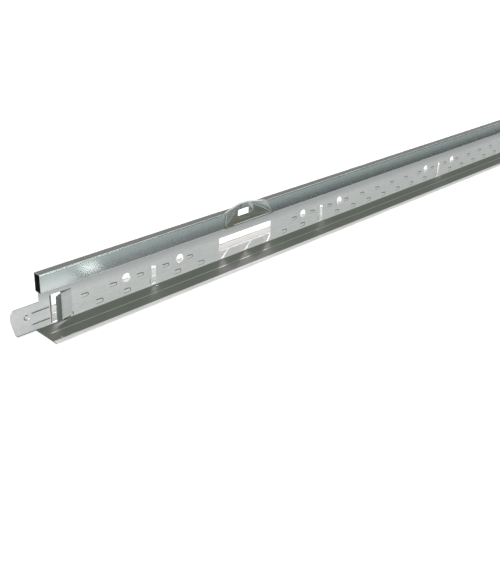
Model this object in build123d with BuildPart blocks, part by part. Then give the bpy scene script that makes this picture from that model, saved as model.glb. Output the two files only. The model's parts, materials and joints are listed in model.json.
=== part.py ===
# Main tee of a suspended ceiling grid, 12 ft long, in millimetres.
# X runs along the tee, Y across its face and Z up. The origin is mid-length, on the underside of the face.
# The body is one folded strip: two flanges, a doubled web and a hollow rectangular bulb. A painted cap
# wraps the flanges from below. Both ends carry the same splice, turned half a turn about Z.
import os

from build123d import *

os.makedirs("parts", exist_ok=True)

# Strip thicknesses
gauge = 0.4
cap_gauge = 0.3

# Section
face_width = 38.1
tee_height = 32.0
bulb_width = 5.2
bulb_height = 10.8
bulb_corner_radius = 0.7
root_radius = 0.5
hem_width = 2.5
cap_edge_radius = 0.45
crease_from_web = 8.6
crease_width = 0.7
crease_rise = 0.15

# Length, and how far the bulb and web stop short of the face at each end
face_length = 3657.6
end_setback = 3.0

# Cross tee slots, and the hanger holes on each side of every slot. Slots repeat from the first one for as
# long as the last keeps at least the stated distance from the far end.
slot_pitch = 152.4
first_slot_from_end = 79.2
last_slot_from_end = 60.0
slot_width = 3.3
slot_height = 12.4
slot_above_flange = 0.8
slot_tooth_drop = 1.3
hanger_hole_diameter = 5.5
hanger_hole_from_slot = 20.0
hanger_hole_above_flange = 11.1

# Splice tab
tab_length = 16.9
tab_height = 15.8
tab_nose_radius = 2.8
tab_heel_radius = 1.4
tab_taper_run = 2.3
tab_taper_height = 8.8
rib_length = 11.4
rib_width = 1.1
rib_rise = 0.5
lower_rib_above_flange = 4.4
rib_spacing = 6.6
detent_beyond_bulb_end = 8.0
detent_above_flange = 8.9
detent_radius = 1.1
detent_rise = 0.9
detent_slit = 0.5

# Splice pocket, measured from the end of the bulb
pocket_from_bulb_end = 6.6
pocket_above_flange = 0.6
pocket_height = 16.5
back_lip_length = 1.3
back_lip_set_back = 1.0
pocket_window = 4.5
louvre_length = 7.2
louvre_rise = 1.4
louvre_lip_length = 4.1
louvre_lip_rise = 1.8
louvre_clearance = 0.5

# Expansion notch between the first two slots and between the last two
notch_length = 47.6
notch_height = 14.6
notch_shoulder = 4.4
notch_shoulder_radius = 5.0
fang_above_flange = 0.5
fang_width = 1.4
fang_inset = 3.0
hump_height = 5.5
hump_slope = 5.2
hump_corner_radius = 1.6

# Pressed-back arch of the bulb above the notch. Each outline gives the start, the two shoulders and the
# end along the tee, measured inwards from the middle of the notch.
arch_at_top = (-21.6, -2.5, 3.5, 15.0)
arch_at_bottom = (-21.4, -4.0, 14.5, 21.9)
arch_shoulder_radius = 7.0
arch_beyond_back = 1.0
arch_lip = 1.0
arch_rise = 0.2
arch_window_length = 10.8
arch_window_height = 4.5
arch_window_above_bulb = 2.9

# Sizes that follow
web_thickness = 2 * gauge
flange_bottom = cap_gauge
flange_top = flange_bottom + gauge
flange_width = face_width - 2 * cap_gauge
bulb_bottom = tee_height - bulb_height
bulb_middle = tee_height - bulb_height / 2
face_end = face_length / 2
bulb_end = face_end - end_setback
slot_count = int((face_length - first_slot_from_end - last_slot_from_end) / slot_pitch) + 1
pattern_shift = first_slot_from_end - (face_length - (slot_count - 1) * slot_pitch) / 2
notch_centre = (slot_count / 2 - 1) * slot_pitch
slot_bottom = flange_top + slot_above_flange
pocket_bottom = flange_top + pocket_above_flange
louvre_start = pocket_from_bulb_end + back_lip_length + pocket_window
pocket_end = louvre_start + louvre_length
fang_tip = flange_top + fang_above_flange
hump_top = flange_top + hump_height
fang_middle = notch_length / 2 - fang_inset
arch_bottom = bulb_bottom + arch_lip
arch_top = tee_height + arch_rise
arch_depth = bulb_width / 2 + arch_beyond_back - web_thickness


def seen_from_outside(x, inwards):
    """Plane on the web at x, whose first axis points inwards along the tee and whose second points up."""
    return Plane(origin=(x, 0, 0), x_dir=(inwards, 0, 0), z_dir=(0, -inwards, 0))


def plan_view(x, inwards, z):
    """Level plane at z, whose first axis points inwards and whose second points behind the web."""
    return Plane(origin=(x, 0, z), x_dir=(inwards, 0, 0), z_dir=(0, 0, 1))


def arch_outline(stations, thickness):
    """Closed outline of the arch in plan: a ramp back, a rounded crown and a ramp forward to the bulb's face."""
    start, first_shoulder, second_shoulder, end = stations
    face = -bulb_width / 2
    depth = arch_depth - face
    ahead = thickness * (first_shoulder - start) / depth
    behind = thickness * (end - second_shoulder) / depth
    FilletPolyline(
        (start - ahead, face),
        (first_shoulder, arch_depth + thickness),
        (second_shoulder, arch_depth + thickness),
        (end + behind, face),
        radius=arch_shoulder_radius,
    )
    Line((end + behind, face), (start - ahead, face))


ends = [(-bulb_end, 1), (bulb_end, -1)]
notches = [(pattern_shift - notch_centre, 1), (pattern_shift + notch_centre, -1)]
pattern_plane = seen_from_outside(pattern_shift, 1)

with BuildPart() as tee_body:
    # Flanges, web and bulb, drawn as one section and run the full length of the face
    with BuildSketch(Plane.YZ.offset(-face_end)) as section:
        with Locations((0, flange_bottom)):
            Rectangle(flange_width, gauge, align=(Align.CENTER, Align.MIN))
            Rectangle(web_thickness, bulb_bottom - flange_bottom + gauge / 2, align=(Align.CENTER, Align.MIN))
        web_roots = section.vertices().filter_by_position(Axis.Y, flange_top - 0.01, flange_top + 0.01)
        fillet(web_roots.sort_by(Axis.X)[1:-1], root_radius)
        with Locations((0, bulb_middle)):
            RectangleRounded(bulb_width, bulb_height, bulb_corner_radius)
            RectangleRounded(
                bulb_width - 2 * gauge, bulb_height - 2 * gauge, bulb_corner_radius - gauge, mode=Mode.SUBTRACT
            )
        with Locations((-crease_from_web, flange_top), (crease_from_web, flange_top)):
            Trapezoid(crease_width, crease_rise, 45, align=(Align.CENTER, Align.MIN))
    extrude(amount=face_length)

    # The bulb and the web stop short of the face at both ends
    for x, inwards in ends:
        with BuildSketch(Plane.YZ.offset(x)):
            with Locations((0, flange_top)):
                Rectangle(face_width, tee_height, align=(Align.CENTER, Align.MIN))
        extrude(amount=-inwards * end_setback, mode=Mode.SUBTRACT)

    # Cross tee slots: an upright opening whose top edge has a small tooth pointing down
    slot_outline = [
        (-slot_width / 2, slot_bottom),
        (slot_width / 2, slot_bottom),
        (slot_width / 2, slot_bottom + slot_height),
        (0, slot_bottom + slot_height - slot_tooth_drop),
        (-slot_width / 2, slot_bottom + slot_height),
    ]
    with BuildSketch(pattern_plane):
        with GridLocations(slot_pitch, 1, slot_count, 1):
            Polygon(slot_outline, align=None)
    extrude(amount=web_thickness, both=True, mode=Mode.SUBTRACT)

    # Hanger holes, one on each side of every slot
    with BuildSketch(pattern_plane):
        with Locations((0, flange_top + hanger_hole_above_flange)):
            with GridLocations(slot_pitch, 1, slot_count, 1):
                with GridLocations(2 * hanger_hole_from_slot, 1, 2, 1):
                    Circle(hanger_hole_diameter / 2)
    extrude(amount=web_thickness, both=True, mode=Mode.SUBTRACT)

    for x, inwards in ends:
        outside = seen_from_outside(x, inwards)

        # Splice tab, a tongue of the web that reaches past the face
        with BuildSketch(outside) as tab:
            with BuildLine():
                Polyline(
                    (0, flange_bottom),
                    (tab_taper_run - tab_length, flange_bottom),
                    (-tab_length, flange_bottom + tab_taper_height),
                    (-tab_length, flange_bottom + tab_height),
                    (0, flange_bottom + tab_height),
                    close=True,
                )
            make_face()
            fillet(tab.vertices().sort_by(Axis.X)[:2].sort_by(Axis.Y)[-1], tab_nose_radius)
            fillet(tab.vertices().group_by(Axis.Y)[0].sort_by(Axis.X)[0], tab_heel_radius)
        extrude(amount=gauge, both=True)

        # Two stiffening ribs pressed out of the tab
        lower_rib = flange_top + lower_rib_above_flange
        with BuildSketch(outside.offset(gauge)):
            with Locations((0, lower_rib), (0, lower_rib + rib_spacing)):
                SlotOverall(rib_length, rib_width)
        extrude(amount=rib_rise)

        # Locking detent: a dimple with a slit round three quarters of it
        detent = (-detent_beyond_bulb_end, flange_top + detent_above_flange)
        with BuildSketch(outside.offset(gauge)):
            with Locations(detent):
                Circle(detent_radius)
        extrude(amount=detent_rise, taper=35)
        with BuildSketch(outside):
            with BuildLine(mode=Mode.PRIVATE) as slit:
                CenterArc(detent, detent_radius + detent_slit, 90, 270)
            SlotArc(slit.edge(), detent_slit)
        extrude(amount=web_thickness, both=True, mode=Mode.SUBTRACT)

        # Splice pocket: the web is cut open, its outer edge is turned back, and its inner edge carries a
        # louvre that stands out and ends in a flared lip
        with BuildSketch(outside):
            with Locations((pocket_from_bulb_end, pocket_bottom)):
                Rectangle(pocket_end - pocket_from_bulb_end, pocket_height, align=(Align.MIN, Align.MIN))
        extrude(amount=web_thickness, both=True, mode=Mode.SUBTRACT)
        with BuildSketch(plan_view(x, inwards, pocket_bottom)):
            with BuildLine():
                Polyline(
                    (pocket_from_bulb_end, -gauge),
                    (pocket_from_bulb_end + back_lip_length, back_lip_set_back - gauge),
                    (pocket_from_bulb_end + back_lip_length, back_lip_set_back + gauge),
                    (pocket_from_bulb_end, gauge),
                    close=True,
                )
            make_face()
        extrude(amount=pocket_height)
        with BuildSketch(plan_view(x, inwards, pocket_bottom + louvre_clearance)):
            with BuildLine():
                Polyline(
                    (pocket_end, -gauge),
                    (louvre_start, -louvre_rise - gauge),
                    (louvre_start - louvre_lip_length, -louvre_rise - louvre_lip_rise - gauge),
                    (louvre_start - louvre_lip_length, -louvre_rise - louvre_lip_rise + gauge),
                    (louvre_start, -louvre_rise + gauge),
                    (pocket_end, gauge),
                    close=True,
                )
            make_face()
        extrude(amount=pocket_height - 2 * louvre_clearance)

    for x, inwards in notches:
        outside = seen_from_outside(x, inwards)

        # Expansion notch in the web: three fangs reach down to the flange, with a hump between each two
        with BuildSketch(outside) as web_notch:
            with BuildLine():
                Polyline(
                    (0, flange_top + notch_height),
                    (notch_length / 2, flange_top + notch_height),
                    (notch_length / 2, flange_top + notch_shoulder),
                    (fang_middle + fang_width / 2, fang_tip),
                    (fang_middle - fang_width / 2, fang_tip),
                    (fang_middle - fang_width / 2 - hump_slope, hump_top),
                    (fang_width / 2 + hump_slope, hump_top),
                    (fang_width / 2, fang_tip),
                    (0, fang_tip),
                )
                mirror(about=Plane.YZ)
            make_face()
            hump_corners = web_notch.vertices().filter_by_position(Axis.Y, hump_top - 0.01, hump_top + 0.01)
            fillet(hump_corners, hump_corner_radius)
            shoulder = flange_top + notch_shoulder
            shoulders = web_notch.vertices().filter_by_position(Axis.Y, shoulder - 0.01, shoulder + 0.01)
            fillet(shoulders, notch_shoulder_radius)
        extrude(amount=web_thickness, both=True, mode=Mode.SUBTRACT)

        # Above it the bulb's outer wall and top are pressed back into a skewed arch, which leaves the bulb
        # open over its floor and a low lip
        for z, stations in ((arch_bottom, arch_at_bottom), (arch_top, arch_at_top)):
            with BuildSketch(plan_view(x, inwards, z)):
                with BuildLine():
                    arch_outline(stations, web_thickness)
                make_face()
        loft(mode=Mode.SUBTRACT)
        for z, stations in ((arch_bottom, arch_at_bottom), (arch_top, arch_at_top)):
            with BuildSketch(plan_view(x, inwards, z)):
                with BuildLine():
                    arch_outline(stations, web_thickness)
                make_face()
                with BuildLine():
                    arch_outline(stations, 0)
                make_face(mode=Mode.SUBTRACT)
        loft()
        with BuildSketch(outside):
            with Locations((0, bulb_bottom + arch_window_above_bulb)):
                Rectangle(arch_window_length, arch_window_height, align=(Align.CENTER, Align.MIN))
        extrude(amount=bulb_width, both=True, mode=Mode.SUBTRACT)

with BuildPart() as face_cap:
    # Painted cap: a flat face whose two edges are folded over the flanges into hems
    with BuildSketch(Plane.YZ.offset(-face_end)):
        with Locations((0, (flange_top + cap_gauge) / 2)):
            RectangleRounded(face_width, flange_top + cap_gauge, cap_edge_radius)
        with Locations((0, flange_bottom)):
            Rectangle(flange_width, gauge, align=(Align.CENTER, Align.MIN), mode=Mode.SUBTRACT)
        with Locations((0, flange_top)):
            Rectangle(
                face_width - 2 * hem_width, 2 * cap_gauge, align=(Align.CENTER, Align.MIN), mode=Mode.SUBTRACT
            )
    extrude(amount=face_length)

for piece, name in ((tee_body, "tee_body"), (face_cap, "face_cap")):
    piece.part.label = name
    export_step(piece.part, f"parts/{name}.step")
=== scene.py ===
import json
from math import radians

import bpy
import numpy as np
from mathutils import Matrix


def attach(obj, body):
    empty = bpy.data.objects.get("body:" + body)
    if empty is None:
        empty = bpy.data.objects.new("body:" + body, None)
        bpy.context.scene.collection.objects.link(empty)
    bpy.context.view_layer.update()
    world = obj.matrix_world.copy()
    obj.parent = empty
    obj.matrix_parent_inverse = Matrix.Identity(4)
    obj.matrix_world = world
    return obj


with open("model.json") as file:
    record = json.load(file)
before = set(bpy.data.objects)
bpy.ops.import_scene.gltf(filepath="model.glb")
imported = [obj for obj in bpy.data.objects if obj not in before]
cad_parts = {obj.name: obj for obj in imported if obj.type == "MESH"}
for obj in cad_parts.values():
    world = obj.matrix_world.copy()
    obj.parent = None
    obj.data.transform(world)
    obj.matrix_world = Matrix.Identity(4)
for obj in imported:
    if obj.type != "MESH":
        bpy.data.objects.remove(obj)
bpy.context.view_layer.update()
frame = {"nodes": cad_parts, "record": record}

# Main tee of a suspended ceiling grid: X along the tee, Y across its face, Z up, everything in metres
mm = 0.001
teeBody = frame["nodes"]["tee_body"]
faceCap = frame["nodes"]["face_cap"]
mounts = {mount["name"]: np.array(mount["pos_m"]) for mount in frame["record"]["mounts"]}
firstSlot, secondSlot, lastSlot = (mounts[f"cross_tee_slot_{number}"][0] for number in ("01", "02", "24"))
slotPitch = secondSlot - firstSlot
slotX = np.arange(firstSlot, lastSlot + slotPitch / 2, slotPitch)
bulbEnd = slotPitch / 2 - slotX[0]           # the first slot is half a pitch in from the end of the bulb

# Places that repeat at both ends: where they are along X, and which way is inwards
notches = ((slotX[0] + slotPitch / 2, 1), (slotX[-1] - slotPitch / 2, -1))
bulbEnds = ((-bulbEnd, 1), (bulbEnd, -1))
webFront = -0.4 * mm
flangeTop = 0.7 * mm
lineLift = 0.03 * mm                         # how far a shadow line stands off the sheet that it marks
lineStations = 12                            # stations along a short straight line


def newMaterial(name):
    # empty node material with a Principled shader wired to the output
    material = bpy.data.materials.new(name)
    material.use_nodes = True
    tree = material.node_tree
    tree.nodes.clear()
    shader = tree.nodes.new("ShaderNodeBsdfPrincipled")
    output = tree.nodes.new("ShaderNodeOutputMaterial")
    tree.links.new(shader.outputs[0], output.inputs[0])
    return material, tree, shader


def addNode(tree, kind, **settings):
    # node with its properties and its unlinked inputs set by name
    node = tree.nodes.new(kind)
    for key, value in settings.items():
        if key in node.inputs:
            node.inputs[key].default_value = value
        else:
            setattr(node, key, value)
    return node


def addMath(tree, operation, *values):
    # maths node fed by numbers or by other nodes' outputs
    node = tree.nodes.new("ShaderNodeMath")
    node.operation = operation
    for socket, value in zip(node.inputs, values):
        if isinstance(value, (int, float)):
            socket.default_value = value
        else:
            tree.links.new(value, socket)
    return node.outputs[0]


def risingBand(tree, value, start, blend):
    # 0 up to the start, then evenly up to 1 over the blend, which may be negative for a falling one
    band = addNode(tree, "ShaderNodeMapRange")
    band.inputs["From Min"].default_value = start
    band.inputs["From Max"].default_value = start + blend
    tree.links.new(value, band.inputs["Value"])
    return band.outputs["Result"]


def mixColours(tree, factor, first, second):
    # colour mix whose factor is linked, and each colour a value or another node's output
    mix = addNode(tree, "ShaderNodeMix", data_type="RGBA")
    tree.links.new(factor, mix.inputs["Factor"])
    for socket, colour in ((mix.inputs["A"], first), (mix.inputs["B"], second)):
        if isinstance(colour, tuple):
            socket.default_value = colour
        else:
            tree.links.new(colour, socket)
    return mix.outputs["Result"]


def colourRamp(tree, factor, spread, first, second):
    # even ramp from the first colour to the second between two levels of the factor
    ramp = addNode(tree, "ShaderNodeValToRGB")
    for element, position, colour in zip(ramp.color_ramp.elements, spread, (first, second)):
        element.position = position
        element.color = colour
    tree.links.new(factor, ramp.inputs["Fac"])
    return ramp.outputs["Color"]


def objectPattern(tree, scale):
    # Object coordinates of the piece, stretched or squeezed along each axis
    place = addNode(tree, "ShaderNodeTexCoord")
    mapping = addNode(tree, "ShaderNodeMapping")
    mapping.inputs["Scale"].default_value = scale
    tree.links.new(place.outputs["Object"], mapping.inputs["Vector"])
    return mapping.outputs["Vector"]


def addRelief(tree, shader, height, bump):
    # fine bump of the shader's normal, from its depth and its strength
    relief = addNode(tree, "ShaderNodeBump", Distance=bump[0], Strength=bump[1])
    tree.links.new(height, relief.inputs["Height"])
    tree.links.new(relief.outputs["Normal"], shader.inputs["Normal"])


zincLook = {
    "pale": (0.83, 0.85, 0.84, 1),
    "dark": (0.71, 0.73, 0.72, 1),
    "spread": (0.25, 0.75),
    "spangle": 1150.0,
    "streaks": (60.0, 900.0, 900.0),
    "spangleShare": 0.4,
    "bump": (0.003 * mm, 0.6),
    "webMetal": 0.45,
    "webRoughness": 0.46,
    "roughnessVaries": 0.06,
    # painted shade on the web under the bulb, growing from shadeFrom to shadeTo
    "shaded": (0.52, 0.55, 0.545, 1),
    "shadeFrom": 14.5 * mm,
    "shadeTo": 20.5 * mm,
    "bulbFrom": 21.8 * mm,
    "bulbBlend": 0.6 * mm,
    "bulbMetal": 0.9,
    "bulbRoughness": 0.16,
    "lipFrom": -1.7 * mm,
    "lipBlend": -0.3 * mm,
    # painted teal reflection tint on the rolled bulb and the flared lips
    "rolledTint": (0.66, 0.74, 0.73, 1),
    "paintedReflectionShare": 0.6,
    # painted olive shade along the bulb's crown
    "crown": (0.73, 0.735, 0.61, 1),
    "crownFrom": 31.9 * mm,
    "crownBlend": 0.2 * mm,
    "crownDulled": 0.5,
    # painted dark olive shade on the flange tops, or below flangeTop wherever that is set
    "dull": (0.195, 0.22, 0.18, 1),
    "dullRoughness": 0.58,
    "flangeTop": 0.74 * mm,
    "flangeBlend": 0.2 * mm,
    # painted near-black shade in the hollow of the bulb near its open ends
    "hollow": ((-2.3 * mm, 2.3 * mm), (21.5 * mm, 31.7 * mm)),
    "hollowFrom": 1740 * mm,
    "paintedHollowShade": (0.012, 0.014, 0.014, 1),
    "hollowRoughness": 0.9,
}


def galvanisedSteel(name="galvanisedSteel", **changes):
    # spangle cells and rolling streaks tint the zinc; it is duller on the flange tops, which carry a painted
    # dark olive shade, painted in a shade that grows towards the underside of the bulb, smoother on the
    # rolled bulb and the flared lips, which carry a painted teal reflection tint, painted in an olive shade
    # along the bulb's crown, and painted in a near-black shade in the hollow of the bulb near its open ends
    look = {**zincLook, **changes}
    material, tree, shader = newMaterial(name)
    cells = addNode(tree, "ShaderNodeTexVoronoi", Scale=1.0, Randomness=1.0)
    tree.links.new(objectPattern(tree, (look["spangle"],) * 3), cells.inputs["Vector"])
    streaks = addNode(tree, "ShaderNodeTexNoise", Scale=1.0, Detail=3.0, Roughness=0.6)
    tree.links.new(objectPattern(tree, look["streaks"]), streaks.inputs["Vector"])
    blend = addNode(tree, "ShaderNodeMix", data_type="FLOAT")
    blend.inputs["Factor"].default_value = look["spangleShare"]
    tree.links.new(streaks.outputs["Fac"], blend.inputs["A"])
    tree.links.new(cells.outputs["Color"], blend.inputs["B"])
    grain = blend.outputs["Result"]
    tint = colourRamp(tree, grain, look["spread"], look["dark"], look["pale"])

    # where a point of the strip lies, each as a share from 0 to 1
    split = addNode(tree, "ShaderNodeSeparateXYZ")
    tree.links.new(objectPattern(tree, (1, 1, 1)), split.inputs[0])
    x, y, z = (split.outputs[axis] for axis in "XYZ")
    aboveFlange = risingBand(tree, z, look["flangeTop"], look["flangeBlend"])
    onFlange = addMath(tree, "SUBTRACT", 1, aboveFlange)
    paintedShadeUnderBulb = risingBand(tree, z, look["shadeFrom"], look["shadeTo"] - look["shadeFrom"])
    onBulb = risingBand(tree, z, look["bulbFrom"], look["bulbBlend"])
    onCrown = risingBand(tree, z, look["crownFrom"], look["crownBlend"])
    onLip = addMath(tree, "MULTIPLY", risingBand(tree, y, look["lipFrom"], look["lipBlend"]), aboveFlange)
    smooth = addMath(tree, "MAXIMUM", onBulb, onLip)
    inside = addMath(tree, "GREATER_THAN", addMath(tree, "ABSOLUTE", x), look["hollowFrom"])
    for across, (low, high) in zip((y, z), look["hollow"]):
        inside = addMath(tree, "MULTIPLY", inside, addMath(tree, "GREATER_THAN", across, low))
        inside = addMath(tree, "MULTIPLY", inside, addMath(tree, "LESS_THAN", across, high))
    outside = addMath(tree, "SUBTRACT", 1, inside)

    # painted shade under the bulb
    colour = mixColours(tree, paintedShadeUnderBulb, tint, look["shaded"])
    colour = mixColours(tree, onBulb, colour, tint)
    # painted teal reflection tint on the smooth zones
    reflectionTintShare = addMath(tree, "MULTIPLY", smooth, look["paintedReflectionShare"])
    colour = mixColours(tree, reflectionTintShare, colour, look["rolledTint"])
    # painted olive shade on the crown
    colour = mixColours(tree, onCrown, colour, look["crown"])
    # painted olive shade below the flange top
    colour = mixColours(tree, aboveFlange, look["dull"], colour)
    # painted near-black shade in the hollow
    colour = mixColours(tree, inside, colour, look["paintedHollowShade"])
    tree.links.new(colour, shader.inputs["Base Color"])

    metal = addMath(tree, "MULTIPLY_ADD", smooth, look["bulbMetal"] - look["webMetal"], look["webMetal"])
    dulled = addMath(tree, "MULTIPLY", metal, onCrown)
    metal = addMath(tree, "MULTIPLY_ADD", dulled, -look["crownDulled"], metal)
    tree.links.new(addMath(tree, "MULTIPLY", metal, outside), shader.inputs["Metallic"])

    rolled = look["bulbRoughness"] - look["webRoughness"]
    rough = addMath(tree, "MULTIPLY_ADD", smooth, rolled, look["webRoughness"])
    rough = addMath(tree, "MAXIMUM", rough, addMath(tree, "MULTIPLY", inside, look["hollowRoughness"]))
    rough = addMath(tree, "MAXIMUM", rough, addMath(tree, "MULTIPLY", onFlange, look["dullRoughness"]))
    rough = addMath(tree, "MULTIPLY_ADD", grain, look["roughnessVaries"], rough)
    tree.links.new(rough, shader.inputs["Roughness"])
    addRelief(tree, shader, grain, look["bump"])
    return material


paintLook = {
    "white": (0.92, 0.92, 0.90, 1),
    "shade": (0.88, 0.88, 0.86, 1),
    "spread": (0.3, 0.6),
    "clouds": 60.0,
    "peel": 1400.0,
    "bump": (0.01 * mm, 0.5),
    "roughness": 0.38,
}


def whitePaint():
    # satin coil paint: a fine orange peel and a faint cloudiness
    material, tree, shader = newMaterial("whitePaint")
    peel = addNode(tree, "ShaderNodeTexNoise", Scale=1.0, Detail=2.0)
    tree.links.new(objectPattern(tree, (paintLook["peel"],) * 3), peel.inputs["Vector"])
    clouds = addNode(tree, "ShaderNodeTexNoise", Scale=1.0, Detail=4.0)
    tree.links.new(objectPattern(tree, (paintLook["clouds"],) * 3), clouds.inputs["Vector"])
    tint = colourRamp(tree, clouds.outputs["Fac"], paintLook["spread"], paintLook["shade"],
                      paintLook["white"])
    tree.links.new(tint, shader.inputs["Base Color"])
    addRelief(tree, shader, peel.outputs["Fac"], paintLook["bump"])
    shader.inputs["Roughness"].default_value = paintLook["roughness"]
    return material


slitLook = {
    "colour": (0.02, 0.022, 0.02, 1),
    "roughness": 0.8,
}


def slitShadow():
    # painted shadow: a dark band for the shaded gap that a cut edge or a pressing's foot leaves beside it
    material, _, shader = newMaterial("slitShadow")
    shader.inputs["Base Color"].default_value = slitLook["colour"]
    shader.inputs["Roughness"].default_value = slitLook["roughness"]
    return material


def dress(piece, material):
    piece.data.materials.clear()
    piece.data.materials.append(material)


# The arch is duller than the bulb it is pressed from and painted in an olive shade low down, edges carry pale
# painted highlights, and the louvre's roof is painted in shade
zinc = galvanisedSteel()
# the arch's lower part and floor carry the painted olive shade, up to 23.2 mm
archZinc = galvanisedSteel("archZinc", bulbMetal=0.5, bulbRoughness=0.42, dull=(0.25, 0.25, 0.19, 1),
                           flangeTop=23.2 * mm, flangeBlend=1.4 * mm)
# pale zinc for painted highlights on the bulb's corner beads and the arch's rim and lip
paintedHighlightZinc = galvanisedSteel("paintedHighlightZinc", pale=(0.92, 0.93, 0.93, 1), dark=(0.86, 0.88, 0.88, 1),
                           shaded=(0.95, 0.96, 0.96, 1), rolledTint=(0.9, 0.91, 0.91, 1),
                           crown=(0.9, 0.91, 0.91, 1), bulbMetal=0.25, bulbRoughness=0.3)
# near-black zinc: painted shade on the louvre's roof
shadeZinc = galvanisedSteel("shadeZinc", pale=(0.07, 0.075, 0.065, 1), dark=(0.05, 0.055, 0.045, 1))
# dark ribbons for painted shadow lines at slits, ribs, the detent, the louvre and the punch marks
paintedShadowDark = slitShadow()
dress(teeBody, zinc)
dress(faceCap, whitePaint())
print("materials on the tee and its face cap")


def gridSurface(name, points, material):
    # points is patches x rows x columns x 3: quads join neighbouring rows and columns of each patch
    count = points[..., 0].size
    index = np.arange(count).reshape(points.shape[:3])
    corners = (index[:, :-1, :-1], index[:, :-1, 1:], index[:, 1:, 1:], index[:, 1:, :-1])
    quads = np.stack(corners, axis=-1).reshape(-1, 4)
    mesh = bpy.data.meshes.new(name)
    mesh.vertices.add(count)
    mesh.vertices.foreach_set("co", points.astype(np.float32).ravel())
    mesh.loops.add(quads.size)
    mesh.loops.foreach_set("vertex_index", quads.ravel())
    mesh.polygons.add(len(quads))
    mesh.polygons.foreach_set("loop_start", np.arange(0, quads.size, 4))
    mesh.polygons.foreach_set("use_smooth", np.ones(len(quads), dtype=bool))
    mesh.materials.append(material)
    mesh.update(calc_edges=True)
    piece = bpy.data.objects.new(name, mesh)
    bpy.context.collection.objects.link(piece)
    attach(piece, "root")


def place(points, middle, inwards):
    # moved along X, and before that turned half a turn about Z where inwards is -1
    return points * np.array([inwards, inwards, 1]) + np.array([middle, 0, 0])


def placeAll(patches, places):
    # every patch at every place, stacked
    return np.stack([place(patch, *spot) for spot in places for patch in patches])


def ribbon(x, z, y, width, outside=0.5):
    # flat band along a path in the web's plane: the path's normal times the width, of which the share named
    # outside lies on one side of the path; the width is even or given along it
    along = np.stack([np.gradient(x), np.gradient(z)], axis=-1)
    along /= np.linalg.norm(along, axis=-1, keepdims=True)
    offset = (np.array([0, 1])[:, None] - 1 + outside) * width
    return np.stack([x - along[:, 1] * offset, np.full((2, x.size), y), z + along[:, 0] * offset], axis=-1)


def uprightLine(x, low, high, y, width):
    # straight ribbon up the web
    z = np.linspace(low, high, lineStations)
    return ribbon(np.full_like(z, x), z, y, width)


# Lanced tongues that stitch the two leaves of the web, in an upper and a lower row between the slots. Each
# row is its height, the tongues' width, its phase and its clearance beside a slot, these two in slot pitches.
lance = {
    "perBay": 8,
    "rows": ((10.5 * mm, 1.5 * mm, 0.1875, 0), (3.6 * mm, 2.1 * mm, 0.25, 0.075)),
    "shift": 0.7 * mm,
    "beyondSlots": (0.35, 0.27),
    "clearOfNotch": 31 * mm,
    "length": 4.5 * mm,
    "squareness": 5.0,
    "lift": 0.28 * mm,
    "tuck": 0.02 * mm,
    "swellTurn": 0.62,
    "slitWidth": 0.48 * mm,
    "slitShares": (0.75, 0.35),
    "stations": 9,
    "slitStations": 25,
}


def lanceCentres(height, phase, clearOfSlot):
    # an even row along the web, less those at slots, end notches and splice ends
    steps = np.arange(-lance["perBay"], (len(slotX) + 1) * lance["perBay"]) / lance["perBay"]
    x = slotX[0] + (steps + phase - 0.5) * slotPitch - lance["shift"]
    bay = (x - slotX[0]) / slotPitch
    beforeFirst, afterLast = lance["beyondSlots"]
    keep = np.abs(bay - np.round(bay)) > clearOfSlot
    keep &= (x > slotX[0] - beforeFirst * slotPitch) & (x < slotX[-1] + afterLast * slotPitch)
    for middle, _ in notches:
        keep &= np.abs(x - middle) > lance["clearOfNotch"]
    return np.stack([x[keep], np.full(keep.sum(), webFront), np.full(keep.sum(), height)], axis=-1)


def tongueSurfaces(centres, size):
    # u runs from the root to the free end and v across: half a superellipse, pillowed out of the web
    count = lance["stations"]
    u, v = np.meshgrid(np.linspace(0, 1, count), np.linspace(-1, 1, count), indexing="ij")
    reach = (1 - np.abs(v) ** lance["squareness"]) ** (1 / lance["squareness"])
    x = lance["length"] * (u * reach - 0.5)
    z = v * size / 2
    swell = np.sin(np.pi * u * lance["swellTurn"]) * (1 - v ** 4)
    y = lance["tuck"] - lance["lift"] * swell * (u < 1)
    return centres[:, None, None] + np.stack([x, y, z], axis=-1)


def slitSurfaces(centres, size, side):
    # painted shadow round the tongue's three cut edges, from the angle a along the superellipse, wider above
    # than below
    a = np.linspace(np.pi / 2, -np.pi / 2, lance["slitStations"])
    power = 2 / lance["squareness"]
    x = lance["length"] * (np.abs(np.cos(a)) ** power - 0.5)
    z = np.sign(np.sin(a)) * np.abs(np.sin(a)) ** power * size / 2
    y = -side * (lineLift - webFront) - webFront
    even, wider = lance["slitShares"]
    return centres[:, None, None] + ribbon(x, z, y, lance["slitWidth"] * (even + wider * np.sin(a)), 1)


def makeLances():
    tongues, slits = [], []
    for height, size, phase, clearOfSlot in lance["rows"]:
        centres = lanceCentres(height, phase, clearOfSlot)
        tongues.append(tongueSurfaces(centres, size))
        slits += [slitSurfaces(centres, size, side) for side in (1, -1)]
    gridSurface("lanceTongues", np.concatenate(tongues), zinc)
    gridSurface("lanceSlits", np.concatenate(slits), paintedShadowDark)
    print("lances", sum(len(part) for part in tongues))


makeLances()

# Round beads: how many sides they have, how late they close towards their ends, and their height to width
beadForm = {
    "sides": 10,
    "closing": 12,
    "flatness": 0.7,
}


def bead(u, v, z, radius):
    # flattened circles round a path that runs along the tee, closing towards both ends
    turn = np.linspace(0, 2 * np.pi, beadForm["sides"] + 1)[None, :]
    share = np.linspace(-1, 1, u.size)[:, None]
    reach = radius * (1 - np.abs(share) ** beadForm["closing"])
    rise = beadForm["flatness"] * reach * np.sin(turn)
    circles = np.stack([0 * rise, reach * np.cos(turn), rise], axis=-1)
    return np.stack([u, v, z], axis=-1)[:, None] + circles


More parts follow.
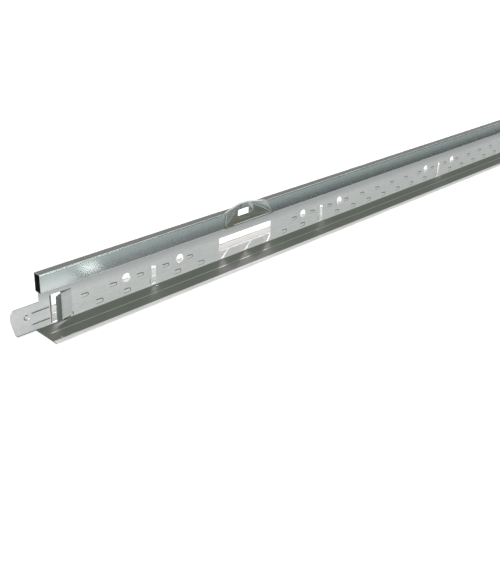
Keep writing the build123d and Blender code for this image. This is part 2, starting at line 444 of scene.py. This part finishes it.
# Arch of the bulb pressed back over each end notch, in plan from the middle of the notch: start, both
# shoulders and end of its face at the foot and at the crown, as in the CAD band that the skin covers. The
# window is its left, right, lower and upper edge, and the lip its left and right end and its height.
arch = {
    "foot": np.array([-21.4, -4.0, 14.5, 21.9]) * mm,
    "crown": np.array([-21.6, -2.5, 3.5, 15.0]) * mm,
    "footHeight": 22.2 * mm,
    "crownHeight": 32.2 * mm,
    "floorHeight": 21.65 * mm,
    "footRadius": 2.2 * mm,
    "bulbFace": 2.6 * mm,
    "wall": 0.4 * mm,
    "depth": 3.2 * mm,
    "softness": 0.28 * mm,
    "clear": 0.03 * mm,
    "window": (-5.4 * mm, 5.4 * mm, 24.1 * mm, 28.6 * mm),
    "rimRadius": 0.6 * mm,
    "lip": (-14.0 * mm, 21.4 * mm, 22.42 * mm),
    "lipRadius": 0.26 * mm,
    "cutWidth": 0.4 * mm,
    "cutBelowCrown": 0.7 * mm,
    "patchGrid": (40, 14),
    "floorGrid": (60, 4),
    "beadStations": 90,
}


def archStations(z):
    # start, shoulders and end at each height, in a straight line from foot to crown
    share = (z - arch["footHeight"]) / (arch["crownHeight"] - arch["footHeight"])
    return arch["foot"][:, None, None] * (1 - share) + arch["crown"][:, None, None] * share


def archDepth(u, z):
    # soft minimum of the ramp back, the flat crown and the ramp forward, rounded out into the bulb's floor
    start, first, second, end = archStations(z)
    rise = arch["depth"] + arch["bulbFace"]
    soft = arch["softness"]
    back = (u - start) / (first - start) * rise
    forward = (end - u) / (end - second) * rise
    total = np.exp(-back / soft) + np.exp(-rise / soft) + np.exp(-forward / soft)
    radius = arch["footRadius"]
    rest = np.clip(radius - (z - arch["floorHeight"]), 0, radius)
    depth = -arch["bulbFace"] - soft * np.log(total) - radius + np.sqrt(radius ** 2 - rest ** 2)
    return np.maximum(depth, -arch["bulbFace"]) - arch["clear"]


def depthAlong(u, z):
    # the arch's depth along a line
    return archDepth(u[:, None], z[:, None])[:, 0]


def archPatch(left, right, low, high):
    # even steps across from left to right and up in z; without a left or right edge, to that end of the arch
    columns, rows = arch["patchGrid"]
    across, z = np.meshgrid(np.linspace(0, 1, columns), np.linspace(low, high, rows), indexing="ij")
    stations = archStations(z)
    first = stations[0] if left is None else left
    last = stations[3] if right is None else right
    u = first + (last - first) * across
    return np.stack([u, archDepth(u, z), z], axis=-1)


def archFloor():
    # the bulb's floor from its outer wall back to the foot of the arch
    columns, rows = arch["floorGrid"]
    along = np.linspace(arch["foot"][0], arch["foot"][3], columns)
    u, share = np.meshgrid(along, np.linspace(0, 1, rows), indexing="ij")
    z = np.full_like(u, arch["floorHeight"])
    front = -arch["bulbFace"] + arch["wall"]
    v = front + np.maximum(archDepth(u, z) - front, 0) * share
    return np.stack([u, v, z - arch["clear"]], axis=-1)


def archRim():
    # bead along the crown, just behind the face
    u = np.linspace(arch["crown"][0], arch["crown"][3], arch["beadStations"])
    z = np.full_like(u, arch["crownHeight"])
    return bead(u, depthAlong(u, z) + arch["rimRadius"], z, arch["rimRadius"])


def archLip():
    # bead along the edge of the low lip that is left of the bulb's face
    start, end, height = arch["lip"]
    u = np.linspace(start, end, arch["beadStations"])
    middle = -arch["bulbFace"] + arch["wall"] / 2
    return bead(u, np.full_like(u, middle), np.full_like(u, height), arch["lipRadius"])


def windowSide(u, outside):
    # painted shadow of the cut edge up one side of the window, on the arch's own face
    z = np.linspace(*arch["window"][2:], lineStations)
    u = np.full_like(z, u)
    side = ribbon(u, z, 0, arch["cutWidth"], outside)
    side[..., 1] = depthAlong(u, z) - arch["clear"]
    return side


def makeArches():
    left, right, low, high = arch["window"]
    foot, crown = arch["floorHeight"], arch["crownHeight"]
    patches = [archPatch(None, left, foot, crown), archPatch(right, None, foot, crown),
               archPatch(left, right, foot, low), archPatch(left, right, high, crown)]
    face = -arch["bulbFace"] - arch["clear"]
    shoulder = uprightLine(arch["foot"][0], arch["footHeight"], crown - arch["cutBelowCrown"], face,
                           arch["cutWidth"])
    cutShadows = [shoulder, windowSide(left, 1), windowSide(right, 0)]
    gridSurface("archSkins", placeAll(patches, notches), archZinc)
    # rim and lip beads in pale zinc: painted highlights
    gridSurface("archRims", placeAll([archRim(), archLip()], notches), paintedHighlightZinc)
    gridSurface("archFloors", placeAll([archFloor()], notches), archZinc)
    # dark ribbons at the shoulder and the window's sides: painted shadows of the cut edges
    gridSurface("archCutShadows", placeAll(cutShadows, notches), paintedShadowDark)
    print("arch skins, rims and cut edges")


makeArches()

# Pale beads along the corners of the bulb's two faces, as painted highlights, broken where an arch is pressed
# back:
# each corner in front of the web and above the floor
corner = {
    "upper": (-2.31 * mm, 31.9 * mm),
    "lower": (-2.5 * mm, 21.85 * mm),
    "radius": 0.24 * mm,
    "stations": 24,
    "crowding": 6.0,
}


def makeCorners():
    # straight beads, their stations crowded by a hyperbolic tangent towards both ends, where they close
    crowding = corner["crowding"]
    share = np.tanh(crowding * np.linspace(-1, 1, corner["stations"])) / np.tanh(crowding)
    lines = []
    for (across, height), breaks in ((corner["upper"], arch["crown"]), (corner["lower"], arch["foot"])):
        first, last = notches[0][0] + breaks[0], notches[0][0] + breaks[3]
        for start, end in ((-bulbEnd, first), (last, -last), (-first, bulbEnd)):
            u = (start + end) / 2 + (end - start) / 2 * share
            lines.append(bead(u, np.full_like(u, across), np.full_like(u, height), corner["radius"]))
    gridSurface("bulbCorners", placeAll(lines, ((0, 1), (0, -1))), paintedHighlightZinc)
    print("bulb corners", 2 * len(lines))


makeCorners()

# Pressings of the splice at both ends, along from the end of the bulb and up from the floor: painted shadow
# lines under the ribs, at the pocket's edge, round the detent and at the louvre's foot, the detent's cap and
# the roof over the louvre, painted in shade
splice = {
    "lineWidth": 0.52 * mm,
    "ribs": (5.1 * mm, 11.7 * mm),
    "ribHalf": 5.2 * mm,
    "ribFace": 0.9 * mm,
    "ribClear": 0.02 * mm,
    "ribDrop": 0.25 * mm,
    "detent": (-8.0 * mm, 9.6 * mm),
    "detentRadius": 1.15 * mm,
    "detentRise": 0.85 * mm,
    "ringReach": 1.15,
    "ringSweep": (50, 290),
    "ringStations": 30,
    "pocketEdge": (6.4 * mm, 1.5 * mm, 17.6 * mm),
    "panelTick": (19.9 * mm, 1.0 * mm, 3.4 * mm),
    "panelFoot": (13.2 * mm, 18.4 * mm, 1.55 * mm),
    "footClear": 0.04 * mm,
    "roof": (12.4 * mm, 19.6 * mm),
    "roofOut": 1.8 * mm,
    "roofLow": 17.3 * mm,
    "roofHigh": 17.8 * mm,
    "roofGrid": (12, 5),
}


def dome(centre, radii, rise, face, rings=8, spokes=24):
    # half an ellipsoid standing out of the plane: radius sin(b), height cos(b) over the angle b
    b, turn = np.meshgrid(np.linspace(0, np.pi / 2, rings), np.linspace(0, 2 * np.pi, spokes), indexing="ij")
    x = centre[0] + radii[0] * np.sin(b) * np.cos(turn)
    z = centre[1] + radii[1] * np.sin(b) * np.sin(turn)
    return np.stack([x, -face - rise * np.cos(b), z], axis=-1)


def arcLine(centre, radii, sweep, stations, width):
    # ribbon on the web along part of an ellipse, its sweep in degrees
    turn = np.radians(np.linspace(*sweep, stations))
    x = centre[0] + radii[0] * np.cos(turn)
    z = centre[1] + radii[1] * np.sin(turn)
    return ribbon(x, z, webFront - lineLift, width)


def louvreOut(u):
    # the louvre's face, straight from its open edge back to the web
    start, stop = splice["roof"]
    return -splice["roofOut"] + (splice["roofOut"] + webFront) * (u - start) / (stop - start)


def louvreFoot():
    # shadow line along the foot of the louvre, on its slanting face
    left, right, height = splice["panelFoot"]
    u = np.linspace(left, right, lineStations)
    foot = ribbon(u, np.full_like(u, height), 0, splice["lineWidth"])
    foot[..., 1] = louvreOut(u) - splice["footClear"]
    return foot


def louvreRoof():
    # flat from the web out to the louvre's face, and lower there
    columns, rows = splice["roofGrid"]
    u, across = np.meshgrid(np.linspace(*splice["roof"], columns), np.linspace(0, 1, rows), indexing="ij")
    y = webFront + (louvreOut(u) - webFront) * across
    z = splice["roofHigh"] + (splice["roofLow"] - splice["roofHigh"]) * across
    return np.stack([u, y, z], axis=-1)


def makeSplices():
    width = splice["lineWidth"]
    u = np.linspace(-splice["ribHalf"], splice["ribHalf"], lineStations)
    face = -splice["ribFace"] - splice["ribClear"]
    lines = [ribbon(u, np.full_like(u, z - splice["ribDrop"]), face, width) for z in splice["ribs"]]
    lines += [uprightLine(*splice[name], webFront - lineLift, width) for name in ("pocketEdge", "panelTick")]
    lines.append(louvreFoot())
    radii = np.full(2, splice["detentRadius"])
    cap = dome(splice["detent"], radii, splice["detentRise"], -webFront)
    ring = arcLine(splice["detent"], radii * splice["ringReach"], splice["ringSweep"], splice["ringStations"],
                   width)
    gridSurface("ribLines", placeAll(lines, bulbEnds), paintedShadowDark)
    gridSurface("detentRings", placeAll([ring], bulbEnds), paintedShadowDark)
    gridSurface("detentCaps", placeAll([cap], bulbEnds), zinc)
    # the louvre's roof in near-black zinc: painted shade
    gridSurface("louvreRoofs", placeAll([louvreRoof()], bulbEnds), shadeZinc)
    print("splice pressings")


makeSplices()

# Marks that the punch leaves: an upright bump beside each slot with its painted shadow, a bead on the flange
# before it, and at each end of the flange an upright bead and a low ridge beside the hem
punch = {
    "bump": (-2.3 * mm, 3.9 * mm),
    "bumpRadii": (0.45 * mm, 1.35 * mm),
    "bumpRise": 0.3 * mm,
    "shadowSpread": (1.25, 1.15),
    "shadowSweep": (75, 285),
    "shadowStations": 16,
    "shadowWidth": 0.3 * mm,
    "bead": (0.7 * mm, 2.5 * mm),
    "beadRadii": (1.0 * mm, 0.6 * mm),
    "beadRise": 0.35 * mm,
    "endBead": (2.7 * mm, 15.6 * mm),
    "endBeadRadii": (0.45 * mm, 1.1 * mm),
    "endRidge": (9.5 * mm, 16.0 * mm),
    "endRidgeRadii": (2.2 * mm, 0.3 * mm),
}


def lying(name):
    # a dome laid on the flange top instead of the web, at a distance along the tee and one in front
    along, front = punch[name]
    points = dome((along, 0), punch[name + "Radii"], punch["beadRise"], flangeTop)
    return np.stack([points[..., 0], points[..., 2] - front, -points[..., 1]], axis=-1)


def makePunchMarks():
    slots = [(x, side) for x in slotX for side in (1, -1)]
    bump = dome(punch["bump"], punch["bumpRadii"], punch["bumpRise"], -webFront)
    beside = placeAll([bump, lying("bead")], slots)
    atEnds = placeAll([lying("endBead"), lying("endRidge")], bulbEnds)
    radii = np.array(punch["bumpRadii"]) * punch["shadowSpread"]
    shadow = arcLine(punch["bump"], radii, punch["shadowSweep"], punch["shadowStations"],
                     punch["shadowWidth"])
    gridSurface("punchMarks", np.concatenate([beside, atEnds]), zinc)
    gridSurface("punchShadows", placeAll([shadow], slots), paintedShadowDark)
    print("punch marks", len(beside) + len(atEnds))


makePunchMarks()


# Studio: a pale floor that the metal doesn't mirror, soft boxes set in the dome round the tee, each as its
# azimuth from +X and its elevation in degrees, half its width and height, and its brightness, and strips of
# paper lying beside the tee, each as its two distances in front of the web, its start and end from the near
# end of the bulb, all in millimetres, its brightness and its colour. Behind the tee a canopy glows downwards,
# between two distances and at its height in millimetres, with its brightness and its colour.
studio = {
    "floorSize": 80.0,
    "floorBelow": 0.05 * mm,
    "floorColour": (0.9, 0.9, 0.9, 1),
    "floorRoughness": 0.9,
    "floorGlow": 0.62,
    "backdrop": (0.97, 0.97, 0.97, 1),
    "ambient": 0.02,
    "boxes": {
        "key": (-79, 5, 20, 6, 7.8),
        "keyLeft": (-118, 8, 20, 10, 4.2),
        "side": (-160, 8, 22, 10, 2.2),
        "behind": (32, -6, 38, 16, 0.42),
        "skyBehind": (32, 24, 45, 20, 0.12),
        "behindLeft": (130, 20, 25, 18, 2.0),
        "edge": (-12, 46, 24, 18, 0.45),
        "top": (0, 88, 400, 31, 1.1),
        "below": (-30, -50, 50, 22, 0.55),
        "belowBehind": (115, -38, 80, 28, 0.5),
    },
    "boxEdge": (0.7, 1.3),
    "strips": {
        "besideHem": (19.5, 24, -300, 3700, 0.57, (0.88, 1, 0.99, 1)),
        "further": (50, 80, -300, 3700, 0.45, (0.86, 1, 0.99, 1)),
        "besideEnd": (28, 40, -300, 40, 0.88, (1, 1, 1, 1)),
        "besideEndFar": (40, 60, -300, 50, 0.88, (1, 1, 1, 1)),
        "glint": (47.5, 50.5, 56.5, 68.5, 5.0, (1, 1, 1, 1)),
    },
    "canopy": (30, 54, 21, 17.0, (1, 0.9, 1, 1)),
    "canopyHalf": 4.0,
}


def flatSheet(name, corners, height, material):
    # one level quad, facing up where its corners run round anticlockwise from above
    mesh = bpy.data.meshes.new(name)
    mesh.from_pydata([(x, y, height) for x, y in corners], [], [(0, 1, 2, 3)])
    sheet = bpy.data.objects.new(name, mesh)
    bpy.context.collection.objects.link(sheet)
    dress(sheet, material)
    sheet.visible_diffuse = False
    sheet.visible_shadow = False
    return sheet


def makeFloor():
    material, _, shader = newMaterial("floorPaper")
    shader.inputs["Base Color"].default_value = studio["floorColour"]
    shader.inputs["Roughness"].default_value = studio["floorRoughness"]
    shader.inputs["Emission Color"].default_value = (1, 1, 1, 1)
    shader.inputs["Emission Strength"].default_value = studio["floorGlow"]
    half = studio["floorSize"] / 2
    corners = [(-half, -half), (half, -half), (half, half), (-half, half)]
    floor = flatSheet("floor", corners, -studio["floorBelow"], material)
    floor.visible_glossy = False


def softEdge(tree, distance, half):
    # 1 inside the half width, falling smoothly to 0 over its outer part
    inner, outer = studio["boxEdge"]
    edge = addNode(tree, "ShaderNodeMapRange", interpolation_type="SMOOTHSTEP")
    edge.inputs["From Min"].default_value = half * outer
    edge.inputs["From Max"].default_value = half * inner
    tree.links.new(distance, edge.inputs["Value"])
    return edge.outputs["Result"]


def makeDome():
    # each box is the product of its soft edges in azimuth and elevation, and the camera sees the backdrop
    world = bpy.data.worlds.new("studioDome")
    world.use_nodes = True
    tree = world.node_tree
    background = tree.nodes["Background"]
    sky = addNode(tree, "ShaderNodeTexCoord")
    split = addNode(tree, "ShaderNodeSeparateXYZ")
    tree.links.new(sky.outputs["Generated"], split.inputs[0])
    azimuth = addMath(tree, "ARCTAN2", split.outputs["Y"], split.outputs["X"])
    elevation = addMath(tree, "ARCSINE", split.outputs["Z"])
    total = studio["ambient"]
    for turn, rise, halfWidth, halfHeight, level in studio["boxes"].values():
        aside = addMath(tree, "SUBTRACT", azimuth, radians(turn))
        aside = addMath(tree, "ABSOLUTE", addMath(tree, "WRAP", aside, radians(180), radians(-180)))
        above = addMath(tree, "ABSOLUTE", addMath(tree, "SUBTRACT", elevation, radians(rise)))
        box = addMath(tree, "MULTIPLY", softEdge(tree, aside, radians(halfWidth)),
                      softEdge(tree, above, radians(halfHeight)))
        total = addMath(tree, "MULTIPLY_ADD", box, level, total)
    seen = addNode(tree, "ShaderNodeLightPath")
    colour = mixColours(tree, seen.outputs["Is Camera Ray"], total, studio["backdrop"])
    tree.links.new(colour, background.inputs["Color"])
    bpy.context.scene.world = world


def makePaper(name, corners, height, level, colour):
    # glowing paper that only the metal's mirror sees
    material, tree, shader = newMaterial(name)
    shader.inputs["Base Color"].default_value = (0, 0, 0, 1)
    shader.inputs["Emission Color"].default_value = colour
    shader.inputs["Emission Strength"].default_value = level
    paper = flatSheet(name, corners, height, material)
    paper.visible_camera = False
    return tree, shader


def makeStrip(name, near, far, start, end, level, colour):
    left, right = start * mm - bulbEnd, end * mm - bulbEnd
    front, back = -far * mm, -near * mm
    makePaper(name, [(left, front), (right, front), (right, back), (left, back)], 0, level, colour)


def makeCanopy(near, far, height, level, colour):
    # facing down, it glows on the flange behind the web, and its upper side, its back, stays dark
    half, front, back = studio["canopyHalf"], near * mm, far * mm
    corners = [(-half, front), (-half, back), (half, back), (half, front)]
    tree, shader = makePaper("canopy", corners, height * mm, level, colour)
    facing = addNode(tree, "ShaderNodeNewGeometry")
    glow = addMath(tree, "MULTIPLY", addMath(tree, "SUBTRACT", 1, facing.outputs["Backfacing"]), level)
    tree.links.new(glow, shader.inputs["Emission Strength"])


makeFloor()
makeDome()
for name, strip in studio["strips"].items():
    makeStrip(name, *strip)
makeCanopy(*studio["canopy"])
print("studio built")

# Camera at the photograph's angle, its place from the near end of the bulb, in front of the web and above
# the floor: turned from +Y towards +X, tipped down, then rolled about its own axis
shot = {
    "fromBulbEnd": -194.43 * mm,
    "across": -326.69 * mm,
    "height": 215.38 * mm,
    "turned": 47.25,
    "down": 26.48,
    "roll": 2.92,
    "lens": 51.64,
    "sensor": 36.0,
    "clip": (0.01, 200.0),
}


def makeCamera():
    lens = bpy.data.cameras.new("camera")
    lens.sensor_fit = "VERTICAL"
    lens.sensor_height = shot["sensor"]
    lens.sensor_width = shot["sensor"]
    lens.lens = shot["lens"]
    lens.clip_start, lens.clip_end = shot["clip"]
    camera = bpy.data.objects.new("camera", lens)
    turn = Matrix.Rotation(-radians(shot["turned"]), 4, "Z")
    tip = Matrix.Rotation(radians(90 - shot["down"]), 4, "X")
    roll = Matrix.Rotation(radians(shot["roll"]), 4, "Z")
    stand = Matrix.Translation((shot["fromBulbEnd"] - bulbEnd, shot["across"], shot["height"]))
    camera.matrix_world = stand @ turn @ tip @ roll
    bpy.context.collection.objects.link(camera)
    bpy.context.scene.camera = camera


makeCamera()
bpy.context.scene.view_settings.view_transform = "Standard"
print("camera placed")
